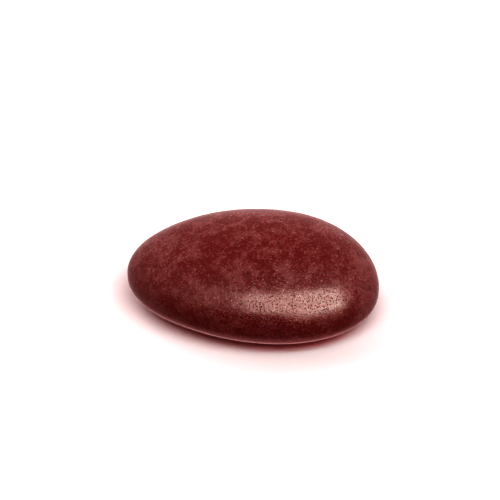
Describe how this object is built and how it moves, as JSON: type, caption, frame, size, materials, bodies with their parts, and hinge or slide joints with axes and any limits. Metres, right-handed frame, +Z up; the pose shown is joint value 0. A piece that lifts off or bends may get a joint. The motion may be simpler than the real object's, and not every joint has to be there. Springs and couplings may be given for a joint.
{
  "type": "sugared almond",
  "caption": "Whole almond in a smooth, satin, dark maroon sugar shell: a flattened, egg-shaped sweet that lies on its flatter side.",
  "frame": {"origin": "on the surface that the almond rests on, under the middle of its bounding box", "axes": "+Z up; +X along the almond towards its blunt end; Y across it"},
  "size_m": [0.027, 0.0176, 0.0103],
  "materials": {
    "sugar_shell": "satin panned sugar, dark maroon with a faint paler bloom"
  },
  "bodies": {
    "root": {"sugared_almond": "sugar_shell"}
  },
  "joints": []
}
